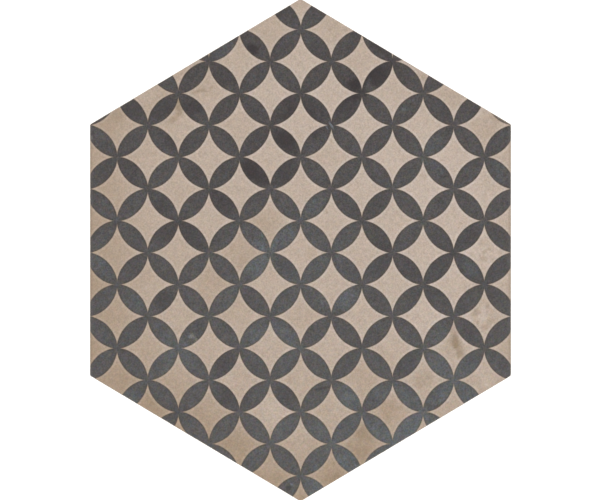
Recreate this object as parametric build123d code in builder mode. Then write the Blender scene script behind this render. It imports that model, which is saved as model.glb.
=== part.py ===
"""Hexagonal floor tile: a dry-pressed slab with a rounded face edge, a drafted foot and a honeycomb back.

Millimetres, +Z up. The tile lies face up, as it is laid. The origin is the middle of the back, X runs
across the flats and Y across the corners. The printed pattern has no relief, so the face is a plain plane.
"""

import os
from math import atan, degrees, hypot, sqrt

from build123d import *

# Outline of the face
across_flats = 250.0
across_corners = 298.5
corner_radius = 1.5

# Section through an edge, from the face down to the back
thickness = 9.0
face_edge_radius = 1.0
foot_height = 4.0
foot_inset = 0.5
back_edge_chamfer = 0.4

# Honeycomb relief of the back, which keys the tile into its adhesive
back_rim = 5.0
cell_rings = 7
rib_width = 2.4
relief_depth = 0.5
relief_draft = 35.0


def pointed_hexagon(width, height):
    """Corners of a hexagon that stands on a point, with its upright sides half as long as its height."""
    x, y = width / 2, height / 2
    return [(x, -y / 2), (x, y / 2), (0, y), (-x, y / 2), (-x, -y / 2), (0, -y)]


def flat_hexagon(width, height):
    """Corners of a hexagon that lies on a flat side, with its level sides half as long as its width."""
    return [(x, -y) for y, x in pointed_hexagon(height, width)]


# The foot narrows from the full outline towards the back, so that the tile leaves its mould.
foot_depth = foot_height - back_edge_chamfer
foot_draft = degrees(atan(foot_inset / foot_depth))

# The keyed field is the outline moved in from the sides. A sloping side moves a corner by more than its inset.
field_inset = foot_inset + back_edge_chamfer + back_rim
side_slope = hypot(across_flats / 2, across_corners / 4) / (across_flats / 2)
field_width = across_flats - 2 * field_inset
field_height = across_corners - 2 * field_inset * side_slope

# Rings of cells round a middle one fill that field, drawn out as far in Y as the outline is.
cell_reach = field_width / (3 * cell_rings + 2)
column_pitch = 1.5 * cell_reach
field_stretch = field_height / field_width * sqrt(3) / 2
row_pitch = sqrt(3) * cell_reach * field_stretch
pocket_width = 2 * (cell_reach - rib_width / sqrt(3))
pocket_height = row_pitch - rib_width
cell_centres = [
    (column * column_pitch, (row + column / 2) * row_pitch)
    for column in range(-cell_rings, cell_rings + 1)
    for row in range(-cell_rings, cell_rings + 1)
    if abs(row + column) <= cell_rings
]

with BuildPart() as tile:
    # Upper band of the slab, with the full outline
    with BuildSketch(Plane.XY.offset(foot_height)) as outline:
        with BuildLine():
            Polyline(*pointed_hexagon(across_flats, across_corners), close=True)
        make_face()
        fillet(outline.vertices(), radius=corner_radius)
    extrude(amount=thickness - foot_height)

    # Drafted foot below it, and the broken edge of the back below that
    extrude(outline.sketch, amount=-foot_depth, taper=foot_draft)
    extrude(tile.faces().sort_by(Axis.Z)[0], amount=back_edge_chamfer, taper=45)

    # Rounded edge of the face
    fillet(tile.faces().sort_by(Axis.Z)[-1].edges(), radius=face_edge_radius)

    # Honeycomb of shallow pockets, with drafted walls
    with BuildSketch(Plane.XY) as cells:
        with Locations(*cell_centres):
            Polygon(*flat_hexagon(pocket_width, pocket_height))
    extrude(cells.sketch, amount=relief_depth, taper=relief_draft, mode=Mode.SUBTRACT)

tile.part.label = "tile"

os.makedirs("parts", exist_ok=True)
export_step(tile.part, "parts/tile.step")
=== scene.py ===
"""Looks of the hexagonal floor tile: its pressed slab, its printed face and the studio around it.

The tile lies face up on a white floor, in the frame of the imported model: metres, +Z up, back at zero.
"""

import math

import bpy
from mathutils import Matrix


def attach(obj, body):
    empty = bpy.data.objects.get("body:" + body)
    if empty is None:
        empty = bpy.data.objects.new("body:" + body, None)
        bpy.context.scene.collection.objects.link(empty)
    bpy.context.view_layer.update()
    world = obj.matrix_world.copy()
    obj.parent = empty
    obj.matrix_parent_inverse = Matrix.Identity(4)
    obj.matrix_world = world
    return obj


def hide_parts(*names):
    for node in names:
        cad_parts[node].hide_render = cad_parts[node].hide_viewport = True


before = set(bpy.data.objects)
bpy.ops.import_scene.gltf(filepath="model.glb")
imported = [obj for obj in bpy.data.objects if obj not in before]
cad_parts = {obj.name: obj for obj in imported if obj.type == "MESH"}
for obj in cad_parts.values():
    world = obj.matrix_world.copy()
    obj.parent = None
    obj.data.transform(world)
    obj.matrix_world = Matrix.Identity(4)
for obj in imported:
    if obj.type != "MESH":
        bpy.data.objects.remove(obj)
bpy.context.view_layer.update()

# Sizes of the slab, as in the part's source, in metres
TILE_SIZES = [
    ("Across flats", "NodeSocketFloat", 0.250),
    ("Across corners", "NodeSocketFloat", 0.2985),
    ("Corner radius", "NodeSocketFloat", 0.0015),
    ("Thickness", "NodeSocketFloat", 0.009),
    ("Arris radius", "NodeSocketFloat", 0.001),
    ("Foot height", "NodeSocketFloat", 0.004),
    ("Foot inset", "NodeSocketFloat", 0.0005),
    ("Back chamfer", "NodeSocketFloat", 0.0004),
    ("Back rim", "NodeSocketFloat", 0.005),
    ("Cell rings", "NodeSocketInt", 7),
    ("Rib width", "NodeSocketFloat", 0.0024),
    ("Relief depth", "NodeSocketFloat", 0.0005),
    ("Relief slope", "NodeSocketFloat", 0.00035),
    ("Side cuts", "NodeSocketInt", 230),
    ("Arris wear", "NodeSocketFloat", 0.00012),
    ("Face waviness", "NodeSocketFloat", 0.00006),
    ("Seed", "NodeSocketInt", 11),
]

# Lattice of the print, in millimetres: the middle of one ground star, and half the pitch of the crossings
STAR_X, STAR_Y = 0.12, -1.52
HALF_PITCH_X, HALF_PITCH_Y = 18.148, 18.898

# Arcs of a petal, as shares of that half pitch
ARC_RADIUS = 1.0984
PETAL_HALF_WIDTH = 0.2782

# Share of the baked map's height that the face takes
FACE_SHARE = 0.985

# Rubbed direction of the inks, in degrees, and how far their smears are drawn out along it
RUB_TURN = 52.0
RUB_LENGTH = 2.4

# How far the hue noise moves red, green and blue, and what the brown rim and the pale line do to them
HUE_SWING = (0.7, 0.37, 0.95)
BROWN_RIM_GAIN = (0.93, 0.84, 0.73)
PALE_LINE_GAIN = (1.085, 1.115, 1.17)

# What the studio does to a shade: the share of light that comes back, and the veil of gloss over it
LIGHT_LEVEL = 1.15
GLOSS_VEIL = 0.037

# Half of the face's width and height, and where the band along its upright edges starts and is full,
# in millimetres; on the ground that band is grime and painted shade of the rounded edge, on the petals wear
HALF_FLATS = 125.0
HALF_CORNERS = 149.25
UPRIGHT_EDGE = (122.6, 124.2)

# The camera's lens and sensor in millimetres, and the widths of the picture and of the tile in it, in pixels
CAMERA_LENS = 135.0
CAMERA_SENSOR = 36.0
PICTURE_WIDTH = 600
TILE_IN_PICTURE = 421.2

# Where the camera stands over the tile's middle, and the level at which the tile has that width, in metres
CAMERA_X, CAMERA_Y = -0.0003, 0.00005
SCALE_LEVEL = 0.008

# Strength of the sky and of the floor's glow
SKY_STRENGTH = 0.4
FLOOR_GLOW = 0.5

# Soft boxes: how far out and how high they hang and how wide they are, in metres, and their power in watts
LAMP_REACH = 1.3
LAMP_SIZE = 1.2
LAMP_POWER = 10.6


class Field:
    """One output of a node tree. It is added and scaled like a number, and each step makes a Math node."""

    def __init__(self, bench, socket):
        self.bench = bench
        self.socket = socket

    def __add__(self, other):
        return self.bench.math("ADD", self, other)

    __radd__ = __add__

    def __sub__(self, other):
        return self.bench.math("SUBTRACT", self, other)

    def __rsub__(self, other):
        return self.bench.math("SUBTRACT", other, self)

    def __mul__(self, other):
        return self.bench.math("MULTIPLY", self, other)

    __rmul__ = __mul__

    def __truediv__(self, other):
        return self.bench.math("DIVIDE", self, other)

    def __rtruediv__(self, other):
        return self.bench.math("DIVIDE", other, self)


class Bench:
    """Adds nodes to one tree and joins them up."""

    def __init__(self, tree):
        self.tree = tree

    def put(self, socket, value):
        if isinstance(value, Field):
            self.tree.links.new(value.socket, socket)
        elif value is not None:
            socket.default_value = value

    def node(self, kind, inputs=None, **settings):
        made = self.tree.nodes.new(kind)
        for name, value in settings.items():
            setattr(made, name, value)
        for name, value in (inputs or {}).items():
            self.put(made.inputs[name], value)
        return made

    def out(self, made, name=0):
        return Field(self, made.outputs[name])

    def field(self, kind, inputs=None, name=0, **settings):
        return self.out(self.node(kind, inputs, **settings), name)

    def math(self, operation, *values):
        return self.field("ShaderNodeMath", dict(enumerate(values)), operation=operation)

    def vector(self, operation, *values, name=0):
        return self.field("ShaderNodeVectorMath", dict(enumerate(values)), name, operation=operation)

    def combine(self, x, y, z=0.0):
        return self.field("ShaderNodeCombineXYZ", {"X": x, "Y": y, "Z": z})

    def separate(self, value):
        made = self.node("ShaderNodeSeparateXYZ", {"Vector": value})
        return [self.out(made, axis) for axis in "XYZ"]

    def ramp(self, value, start, end, low=0.0, high=1.0):
        """A smooth step of value from start to end."""
        values = {"Value": value, "From Min": start, "From Max": end, "To Min": low, "To Max": high}
        return self.field("ShaderNodeMapRange", values, interpolation_type="SMOOTHSTEP")

    def noise(self, place, scale, detail, seed, name=0):
        """Soft noise from 0 to 1, which the seed moves along a fourth axis."""
        values = {"Vector": place, "W": seed, "Scale": scale, "Detail": detail}
        return self.field("ShaderNodeTexNoise", values, name, noise_dimensions="4D")


class SlabBench(Bench):
    """Geometry steps of the slab's tree."""

    def join(self, *parts):
        made = self.node("GeometryNodeJoinGeometry")
        for part in reversed(parts):
            self.tree.links.new(part.socket, made.inputs[0])
        return self.out(made)

    def placed(self, geometry, position):
        return self.field("GeometryNodeSetPosition", {"Geometry": geometry, "Position": position})

    def flipped(self, mesh):
        return self.field("GeometryNodeFlipFaces", {"Mesh": mesh})

    def welded(self, mesh, distance=1e-5):
        return self.field("GeometryNodeMergeByDistance", {"Geometry": mesh, "Distance": distance})

    def open_edges(self, mesh):
        """The rim of an open mesh as a curve."""
        faces = self.field("GeometryNodeInputMeshEdgeNeighbors")
        rim = self.field("FunctionNodeCompare", {2: faces, 3: 1}, data_type="INT", operation="EQUAL")
        return self.field("GeometryNodeMeshToCurve", {"Mesh": mesh, "Selection": rim})

    def filled(self, *curves):
        """The flat face between an outer curve and a hole."""
        return self.field("GeometryNodeFillCurve", {"Curve": self.join(*curves)}, mode="TRIANGLES")

    def mapped(self, mesh, u, v):
        """The mesh with its place on the baked map."""
        values = {"Geometry": mesh, "Name": "OFBake", "Value": self.combine(u, v)}
        return self.field("GeometryNodeStoreNamedAttribute", values, data_type="FLOAT2", domain="CORNER")

    def by_row(self, row, values):
        """The value that belongs to a row."""
        made = self.node("GeometryNodeIndexSwitch", data_type="FLOAT")
        while len(made.index_switch_items) < len(values):
            made.index_switch_items.new()
        self.put(made.inputs["Index"], row)
        for number, value in enumerate(values):
            self.put(made.inputs[1 + number], value)
        return self.out(made)


def slab_tree():
    """Node tree of the slab: outline, swept edge, face field and honeycomb back, welded into one skin."""
    tree = bpy.data.node_groups.new("tile slab", "GeometryNodeTree")
    for name, kind, value in TILE_SIZES:
        tree.interface.new_socket(name, in_out="INPUT", socket_type=kind).default_value = value
    tree.interface.new_socket("Finish", in_out="INPUT", socket_type="NodeSocketMaterial")
    tree.interface.new_socket("Tile", in_out="OUTPUT", socket_type="NodeSocketGeometry")
    b = SlabBench(tree)
    given = b.node("NodeGroupInput")
    size = {name: b.out(given, name) for name, _, _ in TILE_SIZES}
    here = b.field("GeometryNodeInputPosition")
    here_x, here_y, here_z = b.separate(here)
    index = b.field("GeometryNodeInputIndex")
    width, height = size["Across flats"], size["Across corners"]
    side_slope = b.math("SQRT", 1.0 + (height / width * 0.5) * (height / width * 0.5))

    def hexagon_points(across, tall):
        """Places of a unit circle's six points on a hexagon that stands on a corner."""
        return b.combine(here_y * across * (-0.5 / math.sin(math.pi / 3)), here_x * tall * 0.5)

    # Outline with rounded corners, its long sides cut into short steps
    ring = b.field("GeometryNodeCurvePrimitiveCircle", {"Resolution": 6, "Radius": 1.0})
    sharp = b.placed(ring, hexagon_points(width, height))
    corner = {"Curve": sharp, "Radius": size["Corner radius"], "Count": 8}
    rounded = b.field("GeometryNodeFilletCurve", corner, mode="POLY")
    following = b.field("GeometryNodeOffsetPointInCurve", {"Point Index": index, "Offset": 1}, "Point Index")
    ahead = b.field(
        "GeometryNodeFieldAtIndex",
        {"Value": here, "Index": following},
        data_type="FLOAT_VECTOR",
        domain="POINT",
    )
    long_side = b.math("GREATER_THAN", b.vector("DISTANCE", here, ahead, name="Value"), width * 0.1)
    outline = b.field("GeometryNodeSubdivideCurve", {"Curve": rounded, "Cuts": long_side * size["Side cuts"]})
    counted = b.node("GeometryNodeAttributeDomainSize", {"Geometry": outline}, component="CURVE")
    columns = b.out(counted, "Point Count")
    tangent = b.field("GeometryNodeInputTangent")
    outward = b.vector("CROSS_PRODUCT", tangent, (0, 0, 1))

    def moved_in(place, way, inset):
        return b.vector("SUBTRACT", place, b.vector("SCALE", way, None, None, inset))

    def sampled(value, column):
        wrapped = b.math("FLOORED_MODULO", column, columns)
        values = {"Geometry": outline, "Value": value, "Index": wrapped}
        return b.field("GeometryNodeSampleIndex", values, data_type="FLOAT_VECTOR", domain="POINT")

    # Wear of the face edge: a fine unevenness and a few deeper nicks
    def arris_at(place):
        fine = b.noise(place, 420.0, 2.0, size["Seed"])
        nick = b.noise(place, 75.0, 1.0, size["Seed"] + 5.0)
        wear = b.ramp(fine, 0.35, 0.8) + b.ramp(nick, 0.66, 0.78) * 3.0
        return size["Arris radius"] + wear * size["Arris wear"]

    def swept(rows, section):
        """A band of the edge: quads along the outline, with section giving the inset and height of a row."""
        sheet = b.node("GeometryNodeMeshGrid", {"Vertices X": columns + 1, "Vertices Y": rows})
        column = b.math("FLOOR", (index + 0.5) / rows)
        row = index - column * rows
        place, way = sampled(here, column), sampled(outward, column)
        inset, level = section(row, place)
        put = b.vector("ADD", moved_in(place, way, inset), b.combine(0.0, 0.0, level))
        return b.flipped(b.placed(b.out(sheet, "Mesh"), put)), column, row

    # Rounded face edge
    steps = 8

    def arris_section(row, place):
        turn = row * (math.pi / 2 / steps)
        radius = arris_at(place)
        inset = radius * (1.0 - b.math("SINE", turn))
        level = size["Thickness"] - radius * (1.0 - b.math("COSINE", turn))
        return inset, level

    arris, _, _ = swept(steps + 1, arris_section)

    # Upright side, drafted foot and broken back edge
    def side_section(row, place):
        foot, chamfer, inset = size["Foot height"], size["Back chamfer"], size["Foot inset"]
        top = size["Thickness"] - arris_at(place)
        points = [
            (0.0, top),
            (0.0, (top + foot) * 0.5),
            (0.0, foot + 0.00015),
            (inset * 0.03, foot - 0.00015),
            (inset * 0.5, (foot + chamfer) * 0.5),
            (inset, chamfer),
            (inset + chamfer, 0.0),
        ]
        return b.by_row(row, [p[0] for p in points]), b.by_row(row, [p[1] for p in points])

    side_rows = 7
    side, side_column, side_row = swept(side_rows, side_section)

    # Field of the face, and the strip between it and the face edge
    margin = 0.006
    plate = b.node("GeometryNodeMeshCircle", {"Vertices": 6, "Radius": 1.0}, fill_type="TRIANGLE_FAN")
    plate_points = hexagon_points(width - 2 * margin, height - side_slope * (2 * margin))
    field = b.field("GeometryNodeSubdivideMesh", {"Mesh": b.placed(b.out(plate), plate_points), "Level": 5})
    face_edge = b.placed(outline, moved_in(here, outward, arris_at(here)))
    face_low = b.join(field, b.filled(face_edge, b.open_edges(field)))
    face = b.placed(face_low, b.combine(here_x, here_y, size["Thickness"]))

    # Honeycomb of the back: rings of cells round a middle one, drawn out in Y as far as the outline is
    back_inset = size["Foot inset"] + size["Back chamfer"]
    field_width = width - (back_inset + size["Back rim"]) * 2.0
    field_height = height - (back_inset + size["Back rim"]) * 2.0 * side_slope
    rings = size["Cell rings"]
    reach = field_width / (rings * 3.0 + 2.0)
    row_pitch = reach * 1.5 * (field_height / field_width)
    span = rings * 2.0 + 1.0
    lattice = b.node("GeometryNodeMeshGrid", {"Vertices X": span, "Vertices Y": span})
    cell_column = b.math("FLOOR", (index + 0.5) / span) - rings
    cell_row = index - (cell_column + rings) * span - rings
    centre = b.combine(cell_column * 1.5 * reach, (cell_row + cell_column * 0.5) * row_pitch)
    centres = b.placed(b.out(lattice, "Mesh"), centre)
    in_field = b.math("LESS_THAN", b.math("ABSOLUTE", cell_row + cell_column), rings + 0.5)
    rib, slope = size["Rib width"], size["Relief slope"]

    # One cell from its outer ring to its middle, each ring a half height and a level
    cell_rings = [
        (row_pitch * 0.5, 0.0),
        (row_pitch * 0.5 - rib * 0.5, 0.0),
        (row_pitch * 0.5 - rib * 0.5 - slope * 0.75, size["Relief depth"] * 0.8),
        (row_pitch * 0.5 - rib * 0.5 - slope * 1.5, size["Relief depth"]),
        (0.0, size["Relief depth"]),
    ]
    cell_rows = len(cell_rings)
    corner_column = b.math("FLOOR", (index + 0.5) / cell_rows)
    corner_row = index - corner_column * cell_rows
    turn = corner_column * (math.pi / 3)
    half_tall = b.by_row(corner_row, [c[0] for c in cell_rings])
    level = b.by_row(corner_row, [c[1] for c in cell_rings])

    # A cell's half height sets its half width, stretched as the lattice is
    half_wide = half_tall * (reach / (row_pitch * 0.5))
    cell_sheet = b.node("GeometryNodeMeshGrid", {"Vertices X": 7, "Vertices Y": cell_rows})
    cell = b.welded(
        b.placed(
            b.out(cell_sheet, "Mesh"),
            b.combine(
                b.math("COSINE", turn) * half_wide,
                b.math("SINE", turn) * half_tall * (1 / math.sin(math.pi / 3)),
                level,
            ),
        )
    )
    laid_out = {"Points": centres, "Selection": in_field, "Instance": cell}
    copies = b.field("GeometryNodeInstanceOnPoints", laid_out)
    cells = b.flipped(b.welded(b.field("GeometryNodeRealizeInstances", {"Geometry": copies})))
    back_edge = b.placed(outline, moved_in(here, outward, back_inset))
    rim = b.flipped(b.filled(back_edge, b.open_edges(cells)))

    # Places on the baked map: the face as large as it goes, the back and the sides in the strip beside it
    face_middle_u, face_middle_v, face_scale = 0.424, 0.5, FACE_SHARE / (HALF_CORNERS / 500)
    back_middle_u, back_middle_v, back_scale = 0.922, 0.1, 0.14 / (HALF_FLATS / 500)
    side_left, side_bottom, side_wide, side_tall = 0.857, 0.21, 0.13, 0.78
    face_u, face_v = here_x * face_scale + face_middle_u, here_y * face_scale + face_middle_v
    back_u, back_v = here_x * back_scale + back_middle_u, here_y * back_scale + back_middle_v
    side_u = side_row * (side_wide / (side_rows - 1)) + side_left
    side_v = side_column / columns * side_tall + side_bottom
    skin = b.join(
        b.mapped(face, face_u, face_v),
        b.mapped(arris, face_u, face_v),
        b.mapped(side, side_u, side_v),
        b.mapped(cells, back_u, back_v),
        b.mapped(rim, back_u, back_v),
    )

    # One closed skin, with a face that is a little uneven, as a pressed and fired one is
    closed = b.welded(skin)
    lift = b.ramp(here_z, 0.006, 0.009)
    swell = b.noise(here, 14.0, 1.0, size["Seed"] + 9.0)
    sunk = b.combine(0.0, 0.0, b.ramp(swell, 0.25, 0.75) * lift * size["Face waviness"] * -1.0)
    uneven = b.field("GeometryNodeSetPosition", {"Geometry": closed, "Offset": sunk})

    # Soft shading, broken at the sharp edges
    bend = b.field("GeometryNodeInputMeshEdgeAngle")
    crease = b.math("GREATER_THAN", bend, math.radians(25))
    soft = b.field("GeometryNodeSetShadeSmooth", {"Geometry": uneven, "Shade Smooth": True}, domain="FACE")
    sharpened = {"Geometry": soft, "Selection": crease, "Shade Smooth": False}
    creased = b.field("GeometryNodeSetShadeSmooth", sharpened, domain="EDGE")
    whole = b.field("GeometryNodeRealizeInstances", {"Geometry": creased})
    dressed = b.field("GeometryNodeSetMaterial", {"Geometry": whole, "Material": b.out(given, "Finish")})
    b.put(b.node("NodeGroupOutput").inputs["Tile"], dressed)
    return tree


def printed(red, green, blue):
    """Ink or clay that shows as this screen shade under the studio's light, after its veil of gloss."""
    shown = [c / 255 for c in (red, green, blue)]
    linear = [c / 12.92 if c <= 0.04045 else ((c + 0.055) / 1.055) ** 2.4 for c in shown]
    return (*[max(0.0, (c - GLOSS_VEIL) / LIGHT_LEVEL) for c in linear], 1.0)


# Ink of the ground
TAUPE_LIGHT = printed(197, 181, 168)
TAUPE_BROWN = printed(168, 147, 126)
TAUPE_STAIN = printed(156, 137, 116)
TAUPE_FLECK = printed(166, 147, 129)
# Darker shade for the band along the upright edges: grime, and painted shade of the rounded edge
TAUPE_GRIME_AND_SHADE = printed(143, 125, 108)

# Ink of the petals
CHARCOAL_WARM = printed(75, 69, 68)
CHARCOAL_GREY = printed(105, 105, 105)
CHARCOAL_DARK = printed(66, 61, 62)
CHARCOAL_PALE = printed(110, 116, 119)
CHARCOAL_CHIP = printed(128, 130, 127)
CHARCOAL_WORN = printed(103, 99, 97)

# Bare clay
CLAY_LIGHT = printed(199, 186, 171)
CLAY_DARK = printed(180, 166, 150)
CLAY_SPECK = printed(140, 127, 112)
CLAY_SLIP = printed(214, 206, 195)
# Darker band at the foot's step: scuffs along the parting line, and painted shade in the crease
CLAY_SCUFF_AND_SHADE = printed(158, 147, 133)
KILN_DUST = printed(222, 216, 207)


class InkBench(Bench):
    """Colour steps of the tile's finish and the noises that its inks share. Lengths are in millimetres."""

    def __init__(self, tree):
        super().__init__(tree)
        self.place = self.vector("SCALE", self.field("ShaderNodeTexCoord", name="Object"), None, None, 1000.0)
        self.x, self.y, self.z = self.separate(self.place)
        self.reach_x, self.reach_y = self.math("ABSOLUTE", self.x), self.math("ABSOLUTE", self.y)
        self.grain = self.swing(0.8, 21, 0.5, 0.0) + self.swing(1.6, 20, 0.3, 1.0)
        self.fleck = self.cloud(2.4, 22)
        self.hue = self.vector("SUBTRACT", self.cloud(1.7, 23, 2.0, "Color"), (0.5, 0.5, 0.5))
        rubbed = self.field(
            "ShaderNodeMapping",
            {"Vector": self.place, "Rotation": (0, 0, math.radians(RUB_TURN)), "Scale": (RUB_LENGTH, 1, 1)},
            vector_type="TEXTURE",
        )
        self.smear = self.swing(2.4, 29, 0.5, 3.0, rubbed)
        self.patch = self.swing(7.0, 24, 0.5)
        self.drift = self.swing(26.0, 25, 0.5)
        self.ragged = self.swing(3.2, 27, 0.35, 3.0) + self.swing(9.0, 28, 0.25)
        self.spot = mark_group()

    def cloud(self, period, seed, detail=2.0, name=0, place=None):
        """Soft noise from 0 to 1 with forms of that period."""
        return self.noise(place or self.place, 1.0 / period, detail, float(seed), name)

    def swing(self, period, seed, reach, detail=2.0, place=None):
        """Soft noise about zero, mostly within reach on either side."""
        return (self.cloud(period, seed, detail, place=place) - 0.5) * (reach * 3.0)

    def mix(self, share, first, second):
        made = self.node("ShaderNodeMix", data_type="RGBA", blend_type="MIX", clamp_factor=True)
        for socket, value in zip((0, 6, 7), (share, first, second)):
            self.put(made.inputs[socket], value)
        return self.out(made, 2)

    def scaled(self, colour, share):
        return self.vector("SCALE", colour, None, None, share)

    def tinted(self, colour, share):
        """The colour with its hue swung about by the hue noise."""
        swings = self.scaled(self.vector("MULTIPLY", self.hue, HUE_SWING), share)
        return self.vector("MULTIPLY", colour, self.vector("ADD", swings, (1.0, 1.0, 1.0)))

    def marks(self, items):
        """Sum of the spots in one of the lists below, carried from spot to spot in Z."""
        carried = self.combine(self.x, self.y)
        for middle_x, middle_y, length, width, turn, strength in items:
            given = {"Carried": carried, "Ragged": self.ragged}
            made = self.node("ShaderNodeGroup", given, node_tree=self.spot)
            made.inputs["Middle"].default_value = (middle_x, middle_y, 0)
            made.inputs["Turn"].default_value = (0, 0, math.radians(turn))
            made.inputs["Half size"].default_value = (length / 2, width / 2, 1e6)
            made.inputs["Strength"].default_value = strength
            carried = self.out(made)
        return self.separate(carried)[2]


def mark_group():
    """Group that adds one worn or stained spot to the sum in Z: an oval with a ragged edge."""
    tree = bpy.data.node_groups.new("worn spot", "ShaderNodeTree")
    for name, kind in (
        ("Carried", "NodeSocketVector"),
        ("Ragged", "NodeSocketFloat"),
        ("Middle", "NodeSocketVector"),
        ("Turn", "NodeSocketVector"),
        ("Half size", "NodeSocketVector"),
        ("Strength", "NodeSocketFloat"),
    ):
        tree.interface.new_socket(name, in_out="INPUT", socket_type=kind)
    tree.interface.new_socket("Carried", in_out="OUTPUT", socket_type="NodeSocketVector")
    b = Bench(tree)
    given = b.node("NodeGroupInput")
    moved = b.field(
        "ShaderNodeMapping",
        {
            "Vector": b.out(given, "Carried"),
            "Location": b.out(given, "Middle"),
            "Rotation": b.out(given, "Turn"),
            "Scale": b.out(given, "Half size"),
        },
        vector_type="TEXTURE",
    )
    out_from_middle = b.vector("LENGTH", moved, name="Value") + b.out(given, "Ragged")
    share = b.ramp(out_from_middle, 1.1, 0.25) * b.out(given, "Strength")
    carried = b.vector("ADD", b.out(given, "Carried"), b.combine(0.0, 0.0, share))
    b.put(b.node("NodeGroupOutput").inputs["Carried"], carried)
    return tree


# Worn and stained places of the face. Each is a middle in X and Y, a length and a width in
# millimetres, a turn in degrees, and a strength.
GROUND_STAINS = [
    (-62, 94, 10, 4, 5, 0.45),
    (-57, 94.5, 4, 3.5, 0, 0.5),
    (-53, 96.5, 5, 2.5, 40, 0.4),
    (-72.5, 86, 12, 7, 80, 1.0),
    (-73.5, 79.5, 18, 5, 44, 0.5),
    (91.5, -50, 20, 9, 88, 0.55),
    (93, -57, 17, 8, 106, 0.5),
    (95.5, -63, 14, 6, 120, 0.35),
    (88, -58, 18, 12, 60, 0.2),
    (37, -108, 20, 16, 0, 0.7),
    (31, -122, 26, 16, 30, 0.55),
    (19, -135, 16, 9, 25, 0.7),
    (-15, -134, 13, 8, -25, 0.35),
    (-41, -114, 22, 16, 0, 0.32),
    (-106, -76, 26, 16, 20, 0.2),
    (-88, -91, 20, 12, -30, 0.25),
    (-59, -92, 18, 16, 0, 0.1),
    (73, -77, 16, 12, 40, 0.35),
    (-108, 81, 14, 12, 0, 0.35),
    (74, 101, 14, 8, -30, 0.3),
    (117, 78, 16, 5, -31, 0.65),
    (104, -37, 8, 5.5, 25, 0.4),
    (113.5, -42, 9, 6, 30, 0.3),
    (109, -46, 6, 5, 0, 0.3),
    (105, -43, 3, 3, 0, 0.4),
    (111, -33, 2.4, 5, -20, 0.35),
    (107.5, 4, 7, 5, 60, 0.35),
    (112, 0.5, 2.6, 2.6, 0, 0.5),
    (109, -1, 5, 2.6, 35, 0.4),
    (108.5, -5, 6, 4.5, 0, 0.35),
    (114, -5.5, 5, 3.5, 30, 0.35),
]
GROUND_MOTTLES = [
    (109, 36, 24, 24, 0, 1.2),
    (109, -1, 22, 24, 0, 1.0),
    (109, -38, 26, 28, 0, 1.6),
    (75, 18, 20, 20, 0, 0.5),
    (90, 62, 22, 20, 0, 0.55),
    (92, -56, 24, 24, 0, 0.7),
    (73, -77, 22, 20, 0, 0.7),
    (108, -76, 20, 20, 0, 0.7),
    (-56, 93, 18, 18, 0, 0.6),
    (100, 82, 44, 26, -31, 0.6),
]
GROUND_SHADES = [
    (-27, 6, 56, 40, 60, 0.3),
    (-46, -22, 60, 46, -60, 0.21),
    (0, -41, 30, 22, 0, 0.1),
    (10, -84, 40, 40, 0, 0.1),
    (91, -76, 24, 22, 0, 0.12),
    (7, -2, 10, 14, 0, 0.2),
    (-92, -12, 24, 22, 0, 0.08),
    (42, -74, 44, 42, 0, 0.25),
    (51, -93, 24, 22, 0, 0.3),
    (32, -112, 70, 56, 0, 0.08),
    (14, 55, 24, 18, -45, 0.13),
    (-38, 72, 46, 34, 0, 0.13),
    (-90, -58, 26, 22, 0, 0.08),
    (108, 70, 26, 26, 0, 0.25),
    (-114, 74, 18, 18, 0, 0.13),
    (89, 91, 34, 16, -31, 0.25),
    (30, 128, 60, 14, -31, 0.05),
    (106, -28, 26, 40, 0, 0.15),
    (100, 2, 20, 26, 0, -0.12),
    (108.5, -39, 7, 10, -20, -0.35),
    (112, -2, 14, 20, 0, -0.15),
    (80, -40, 40, 24, 0, -0.14),
    (112, -76, 16, 20, 0, -0.2),
    (48, 105, 20, 24, 0, -0.14),
    (73, 32, 30, 30, 0, -0.1),
    (-18, -96, 26, 26, 0, -0.2),
    (-91, 92, 20, 14, 31, -0.2),
    (-36, 112, 26, 18, 0, -0.1),
    (-18, -130, 26, 14, -30, -0.15),
]
PETAL_DARKS = [
    (-12, 68, 170, 36, 39, 0.2),
    (47, 104, 28, 18, 45, 0.8),
    (46, 121, 16, 10, -45, 0.5),
    (33, 95, 18, 18, 0, 0.6),
    (0, 80, 46, 26, -45, 0.45),
    (27, 84, 30, 18, 45, 0.45),
    (-9, 64, 26, 16, -45, 0.65),
    (-9, 46, 26, 16, 45, 0.5),
    (-27, 46, 26, 16, -45, 0.65),
    (-45, 28, 26, 18, -45, 0.38),
    (-62, 46, 24, 16, 45, 0.25),
    (-70, 10, 48, 26, 0, 0.4),
    (-82, 27, 22, 16, 45, 0.35),
    (-74, 66, 26, 18, -45, 0.35),
    (-64, 85, 22, 16, 45, 0.5),
    (-82, 84, 24, 18, 45, 0.4),
    (-102, 82, 30, 18, 31, 0.35),
    (-46, 103, 24, 16, 45, 0.3),
    (-105, 46, 40, 40, 0, 0.2),
    (40, 28, 44, 44, 0, 0.2),
    (88, -12, 84, 62, 0, 0.28),
    (101, 8, 22, 18, 0, 0.2),
    (47, -4, 24, 44, 0, 0.25),
    (101, -48, 22, 20, 0, 0.25),
    (-9, -9, 22, 16, -45, 0.35),
    (-80, -30, 22, 16, -45, 0.3),
    (-46, -66, 24, 20, 0, 0.3),
    (-63, -49, 24, 18, 45, 0.2),
    (-42, -87, 28, 20, 0, 0.3),
    (-9, -85, 22, 16, 45, 0.3),
    (62, -68, 22, 18, 45, 0.25),
    (100, -68, 24, 18, 45, 0.3),
    (27, -105, 22, 16, -45, 0.15),
    (-74, -96, 26, 20, 0, 0.15),
    (-28, 119.5, 12, 8, -40, 0.9),
    (32, 99, 14, 9, -45, 0.5),
    (28, -83, 9, 2.5, -25, 0.6),
    (13, -82, 12, 2.5, 12, 0.5),
    (42, -89, 9, 2.5, -10, 0.5),
    (-7, -141, 4.5, 3, 20, 0.6),
    (-123.5, 69, 8, 3, 85, 0.6),
    (-67, -50.5, 2.4, 2, 0, 0.5),
]
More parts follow.
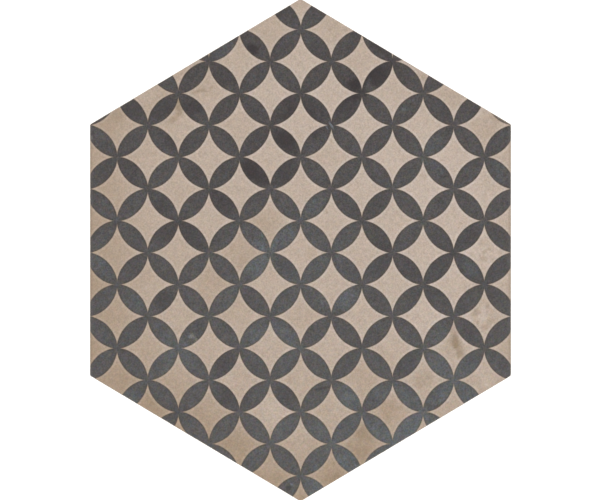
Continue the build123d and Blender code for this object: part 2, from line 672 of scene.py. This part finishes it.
PETAL_PALES = [
    (-3, -9, 80, 76, 0, 0.15),
    (-26, -4, 28, 40, 0, 0.3),
    (-9, 8, 24, 18, 45, 0.2),
    (8, 26, 24, 16, 45, 0.25),
    (-44, -27, 26, 18, -45, 0.2),
    (24, -28, 28, 20, 0, 0.35),
    (-16, -53, 46, 32, 0, 0.3),
    (-101, -32, 26, 22, 0, 0.18),
    (-74, -60, 46, 40, 0, 0.25),
    (-118, -4, 16, 26, 0, 0.25),
    (-117, 70, 14, 12, 0, 0.12),
    (101, -9, 22, 16, -45, 0.2),
    (82, -50, 22, 18, -45, 0.15),
    (96, -78, 70, 44, -25, 0.32),
    (62, -107, 60, 34, 31, 0.47),
    (30, -86, 24, 18, 45, 0.4),
    (54, -87, 44, 20, 0, 0.28),
    (26, -112, 56, 50, 0, 0.25),
    (20, -136, 44, 26, 30, 0.6),
    (-14, -106, 24, 18, 45, 0.2),
    (-100, -92, 40, 20, -31, 0.3),
    (0, 131, 40, 26, 0, 0.08),
    (-43, 116, 24, 16, 30, 0.25),
    (80, 56, 26, 40, 0, 0.18),
    (118, 47, 14, 24, 0, 0.2),
    (61, 83.5, 6, 4.5, 30, 0.4),
    (18.2, 74, 6, 1.6, -55, 1.0),
    (15.5, 73, 5, 1.4, -60, 0.6),
    (-5, -139, 4, 2, -30, 0.7),
]
PETAL_CHIPS = [
    (-64.5, -51, 5, 4, 10, 0.7),
    (-62, -53.5, 3, 2.2, 60, 0.5),
    (-124, 66.5, 4, 2, 80, 0.5),
    (-121, 62.5, 3, 1.6, 50, 0.35),
    (61, 83.5, 3.4, 2.2, 30, 0.25),
]
PRINT_GAPS = [
    (120, 79, 26, 7, -31, 0.75),
]


def print_lattice(b, place):
    """Depth inside the nearest petal, which is below zero on the ground, the way to the nearest crossing,
    both in millimetres, and each petal's own number."""
    x, y, _ = b.separate(place)
    p, q = (x - STAR_X) / HALF_PITCH_X, (y - STAR_Y) / HALF_PITCH_Y
    across = b.math("PINGPONG", (p + q) * 0.5, 0.5)
    along = b.math("PINGPONG", (p - q) * 0.5, 0.5)
    rt2 = math.sqrt(2)
    half_pitch = 0.5 * (HALF_PITCH_X + HALF_PITCH_Y)

    def petal(beside, ahead):
        side = (0.5 - beside) * rt2 + (ARC_RADIUS - PETAL_HALF_WIDTH)
        return ARC_RADIUS - b.vector("LENGTH", b.combine(side, ahead * rt2), name="Value")

    depth = b.math("MAXIMUM", petal(across, along), petal(along, across)) * half_pitch
    to_crossing = b.vector("LENGTH", b.combine(0.5 - across, 0.5 - along), name="Value") * (rt2 * half_pitch)
    number = b.combine(b.math("FLOOR", p), b.math("FLOOR", q))
    own = b.field("ShaderNodeTexWhiteNoise", {"Vector": number}, "Value", noise_dimensions="2D")
    return depth, to_crossing, own


def ground_ink(b, depth):
    """Taupe ink of the ground: lighter to the right, browner below and at the edge, clouded and flecked, with
    grime and painted shade of the rounded edge along its upright edges.
    """
    # Brown tone towards the left and the sloping edges, and a narrow one at the right
    sloping_side = math.hypot(HALF_FLATS, HALF_CORNERS / 2)
    lean_x, lean_y = HALF_CORNERS / 2 / sloping_side, HALF_FLATS / sloping_side
    from_sloping = HALF_CORNERS * lean_y - b.reach_x * lean_x - b.reach_y * lean_y
    from_edge = b.math("MINIMUM", b.x + HALF_FLATS, from_sloping)
    edge_tone = b.ramp(from_edge, 42.0, 0.0) * b.ramp(b.y, 140.0, 0.0, 0.26, 0.46)
    edge_tone = edge_tone * b.ramp(b.x, 120.0, 20.0, 0.4, 1.0)
    edge_tone = edge_tone * b.ramp(b.x, -HALF_FLATS, -80.0, 0.78, 1.0)
    edge_tone = edge_tone + b.ramp(b.x, 100.0, HALF_FLATS, 0.0, 0.22)

    # Clouds, stains, grain and flecks
    tone = b.x * -0.0015 + b.y * -0.0012 + edge_tone + b.drift * 0.12 + b.patch * 0.13 + b.smear * 0.12 + 0.28
    tone = tone + b.marks(GROUND_SHADES)
    blotch = b.swing(4.5, 31, 0.5, 3.0)
    tone = tone + b.marks(GROUND_MOTTLES) * blotch * 0.6
    ground = b.mix(tone, TAUPE_LIGHT, TAUPE_BROWN)
    stain = b.marks(GROUND_STAINS) * (b.smear * 0.8 + 1.0)
    ground = b.mix(stain, ground, TAUPE_STAIN)
    ground = b.scaled(ground, b.grain * 0.29 + 1.0)
    ground = b.mix(b.ramp(b.fleck, 0.58, 0.76) * 0.5, ground, TAUPE_FLECK)
    ground = b.tinted(ground, b.ramp(b.y, 20.0, -110.0, 0.27, 0.42))

    # A thin pale line beside the petals, and along the upright edges a darker band of grime and painted shade
    # of the rounded edge
    pale_line = b.ramp(depth, -1.6, -1.0) * b.ramp(depth, 0.0, -0.5)
    ground = b.mix(pale_line, ground, b.vector("MULTIPLY", ground, PALE_LINE_GAIN))
    return b.mix(b.ramp(b.reach_x, *UPRIGHT_EDGE) * 0.35, ground, TAUPE_GRIME_AND_SHADE)


def petal_ink(b, depth, to_crossing, own):
    """Charcoal ink of the petals: warm and dark above, cool and lighter below, mottled as worn cement is."""
    tone = b.y * -0.0013 + (own - 0.5) * 0.06 + b.drift * 0.12 + b.patch * 0.18 + b.smear * 0.25 + 0.43
    petal = b.mix(tone, CHARCOAL_WARM, CHARCOAL_GREY)
    petal = b.mix(b.marks(PETAL_DARKS), petal, CHARCOAL_DARK)
    petal = b.mix(b.marks(PETAL_PALES), petal, CHARCOAL_PALE)
    petal = b.mix(b.marks(PETAL_CHIPS), petal, CHARCOAL_CHIP)
    petal = b.scaled(petal, b.grain * b.ramp(b.y, 100.0, -110.0, 0.92, 0.7) + 1.0)
    petal = b.tinted(petal, 1.2)

    # A brown rim, which fades where petals meet, and wear along the upright edges
    rim = b.ramp(depth, 1.4, 0.4) * b.ramp(to_crossing, 1.0, 4.0)
    petal = b.mix(rim, petal, b.vector("MULTIPLY", petal, BROWN_RIM_GAIN))
    return b.mix(b.ramp(b.reach_x, *UPRIGHT_EDGE) * 0.4, petal, CHARCOAL_WORN)


def bare_body(b):
    """Fired clay of the sides and back: specked, drawn into level lines by the die, with a pale slip line
    under the print, a darker band at the step above the foot (scuffs along the parting line, and painted
    shade in the crease), and kiln dust on the foot and on the ribs of the back."""
    body = b.mix(b.cloud(14.0, 41), CLAY_LIGHT, CLAY_DARK)
    stretch = {"Vector": b.place, "Scale": (6, 6, 0.35)}
    drawn_level = b.field("ShaderNodeMapping", stretch, vector_type="TEXTURE")
    body = b.scaled(body, b.swing(1.0, 45, 0.045, 2.0, drawn_level) + 1.0)
    body = b.mix(b.ramp(b.cloud(1.1, 42), 0.62, 0.75) * 0.5, body, CLAY_SPECK)
    ragged_z = b.z + b.swing(2.2, 46, 0.14)
    body = b.mix(b.ramp(ragged_z, 7.75, 7.95) * 0.55, body, CLAY_SLIP)
    # Darker band at the step above the foot: scuffs along the parting line, and painted shade in the crease
    step = b.ramp(b.math("ABSOLUTE", ragged_z - 4.0), 0.35, 0.05)
    body = b.mix(step * b.ramp(b.cloud(8.0, 47), 0.4, 0.6, 0.1, 0.35), body, CLAY_SCUFF_AND_SHADE)
    dust = b.math("MAXIMUM", b.ramp(b.z, 0.16, 0.02), b.ramp(ragged_z, 2.2, 0.5) * 0.7)
    dust = dust * b.ramp(b.cloud(9.0, 43, 4.0), 0.42, 0.62)
    return b.mix(dust * 0.6, body, KILN_DUST)


def printed_porcelain():
    """Matt porcelain with a two-tone print on its face and a bare body on its sides and back."""
    finish = bpy.data.materials.new("printed_porcelain")
    finish.use_nodes = True
    tree = finish.node_tree
    tree.nodes.clear()
    b = InkBench(tree)

    # Where the ink lies: a lattice of petals whose edges wander by a tenth of a millimetre
    wander = b.vector("SUBTRACT", b.cloud(5.0, 3, name="Color"), (0.5, 0.5, 0.5))
    drawn = b.vector("ADD", b.place, b.scaled(wander, 0.35))
    depth, to_crossing, own = print_lattice(b, drawn)
    ink = b.math("MAXIMUM", b.ramp(depth, -0.36, 0.24), b.ramp(to_crossing, 2.6, 1.6))
    ink = ink * (1.0 - b.marks(PRINT_GAPS))
    face = b.mix(ink, ground_ink(b, depth), petal_ink(b, depth, to_crossing, own))

    # The print ends on the rounded edge of the face
    coat = b.ramp(b.z + b.swing(2.0, 44, 0.12), 8.5, 8.75)
    colour = b.mix(coat, bare_body(b), face)

    # Matt face with a little more gloss on the ink, and a dry body
    rough = 0.62 - ink * 0.05 + b.grain * 0.03 + b.patch * 0.03
    rough = rough * coat + (1.0 - coat) * 0.88

    # Fine grain of the face and the coarser one of the body
    height = b.grain * 0.3 + b.fleck * 0.6 + b.cloud(0.5, 51) * (1.0 - coat)
    bump = b.field("ShaderNodeBump", {"Strength": 1.0, "Distance": 0.00003, "Height": height})
    shader = b.node("ShaderNodeBsdfPrincipled", {"Base Color": colour, "Roughness": rough, "Normal": bump})
    b.put(b.node("ShaderNodeOutputMaterial").inputs["Surface"], b.out(shader))
    return finish


def make_tile(finish):
    """The tile as a plain mesh, made once from its tree."""
    tree = slab_tree()
    holder = bpy.data.objects.new("tile_tree", bpy.data.meshes.new("tile_tree"))
    bpy.context.scene.collection.objects.link(holder)
    modifier = holder.modifiers.new("slab", "NODES")
    modifier.node_group = tree
    sockets = {s.name: s.identifier for s in tree.interface.items_tree if s.in_out == "INPUT"}
    for name, _, value in TILE_SIZES:
        modifier[sockets[name]] = value
    modifier[sockets["Finish"]] = finish
    made = holder.evaluated_get(bpy.context.evaluated_depsgraph_get())
    mesh = bpy.data.meshes.new_from_object(made)
    mesh.name = "floor_tile"
    mesh.materials.clear()
    mesh.materials.append(finish)
    bpy.data.objects.remove(holder)
    tile = bpy.data.objects.new("floor_tile", mesh)
    bpy.context.scene.collection.objects.link(tile)
    return tile


def make_floor():
    """White floor, lit from below as a light table is, so that it stays white beside the tile."""
    mesh = bpy.data.meshes.new("floor")
    far = 6.0
    mesh.from_pydata([(-far, -far, 0), (far, -far, 0), (far, far, 0), (-far, far, 0)], [], [(0, 1, 2, 3)])
    floor = bpy.data.objects.new("floor", mesh)
    floor.location.z = -0.0001
    bpy.context.scene.collection.objects.link(floor)
    white = bpy.data.materials.new("white_floor")
    white.use_nodes = True
    shader = white.node_tree.nodes["Principled BSDF"]
    shader.inputs["Base Color"].default_value = (0.9, 0.9, 0.9, 1)
    shader.inputs["Roughness"].default_value = 0.8
    shader.inputs["Emission Color"].default_value = (1, 1, 1, 1)
    shader.inputs["Emission Strength"].default_value = FLOOR_GLOW
    mesh.materials.append(white)
    return floor


def make_studio():
    """Even daylight all round and four large soft boxes, with the camera straight above."""
    scene = bpy.context.scene
    scene.view_settings.view_transform = "Standard"
    scene.view_settings.look = "None"
    world = bpy.data.worlds.new("studio")
    world.use_nodes = True
    sky = world.node_tree.nodes["Background"]
    sky.inputs["Color"].default_value = (1, 1, 1, 1)
    sky.inputs["Strength"].default_value = SKY_STRENGTH
    scene.world = world
    for number, turn in enumerate((45, 135, 225, 315)):
        data = bpy.data.lights.new(f"soft_box_{number}", "AREA")
        data.shape = "SQUARE"
        data.size = LAMP_SIZE
        data.energy = LAMP_POWER
        lamp = bpy.data.objects.new(f"soft_box_{number}", data)
        angle = math.radians(turn)
        lamp.location = (LAMP_REACH * math.cos(angle), LAMP_REACH * math.sin(angle), LAMP_REACH)
        lamp.rotation_euler = (math.radians(45), 0, angle + math.pi / 2)
        scene.collection.objects.link(lamp)
    data = bpy.data.cameras.new("camera")
    data.sensor_width = CAMERA_SENSOR
    data.lens = CAMERA_LENS
    camera = bpy.data.objects.new("camera", data)
    view_width = HALF_FLATS / 500 * PICTURE_WIDTH / TILE_IN_PICTURE
    camera.location = (CAMERA_X, CAMERA_Y, SCALE_LEVEL + CAMERA_LENS / CAMERA_SENSOR * view_width)
    scene.collection.objects.link(camera)
    scene.camera = camera


tile = make_tile(printed_porcelain())
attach(tile, "root")
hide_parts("tile")
make_floor()
make_studio()
